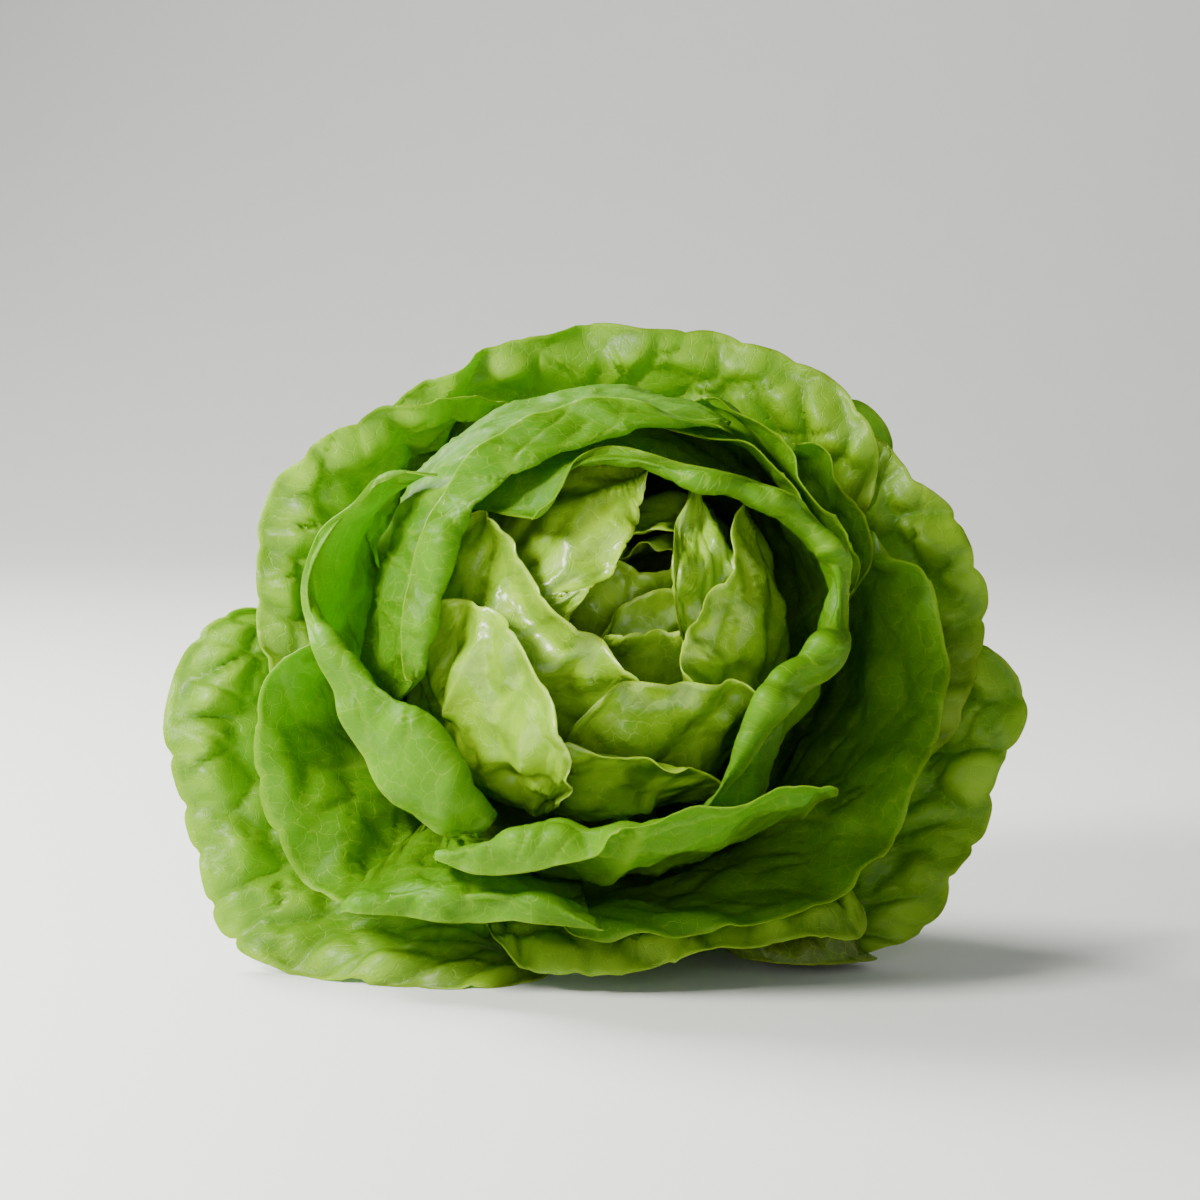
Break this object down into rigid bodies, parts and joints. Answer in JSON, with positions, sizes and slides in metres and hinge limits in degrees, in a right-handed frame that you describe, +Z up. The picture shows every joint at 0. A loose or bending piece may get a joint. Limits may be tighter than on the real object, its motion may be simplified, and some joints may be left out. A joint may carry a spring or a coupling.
{
  "type": "butterhead lettuce",
  "caption": "Loose head of butterhead lettuce lying on its side with its heart to the front, thin cupped leaves on a short cut stem.",
  "frame": {"origin": "on the ground under the middle of the head's bounding box", "axes": "+Z up from the ground the head lies on, -Y to the front where the heart faces, +X to the right seen from the front"},
  "size_m": [0.2196, 0.1512, 0.1596],
  "materials": {
    "heart_leaf": "satin",
    "middle_leaf": "satin",
    "outer_leaf": "satin",
    "stem": "satin"
  },
  "bodies": {
    "root": {"stem": "stem", "bud_back_leaf": "heart_leaf", "bud_front_leaf": "heart_leaf", "heart_leaf_small": "heart_leaf", "heart_leaf_top": "heart_leaf", "heart_leaf_low": "heart_leaf", "heart_leaf_pointed": "heart_leaf", "heart_leaf_upper_left": "heart_leaf", "heart_leaf_right": "heart_leaf", "heart_leaf_left": "heart_leaf", "heart_leaf_bottom": "heart_leaf", "heart_leaf_lower": "heart_leaf", "heart_leaf_bright": "heart_leaf", "wavy_leaf_right": "middle_leaf", "band_leaf_top": "middle_leaf", "ribbon_leaf": "middle_leaf", "rim_leaf_inner": "middle_leaf", "rim_leaf_outer": "middle_leaf", "middle_leaf_left": "middle_leaf", "front_leaf": "middle_leaf", "roll_leaf": "middle_leaf", "cupped_leaf_left": "middle_leaf", "big_leaf_right": "middle_leaf", "outer_leaf_upper_left": "outer_leaf", "outer_leaf_top": "outer_leaf", "outer_leaf_upper_right": "outer_leaf", "bottom_leaf": "outer_leaf", "under_leaf_right": "outer_leaf", "blistered_leaf_left": "outer_leaf", "outer_leaf_lower_right": "outer_leaf", "back_leaf_tip": "outer_leaf"}
  },
  "joints": []
}
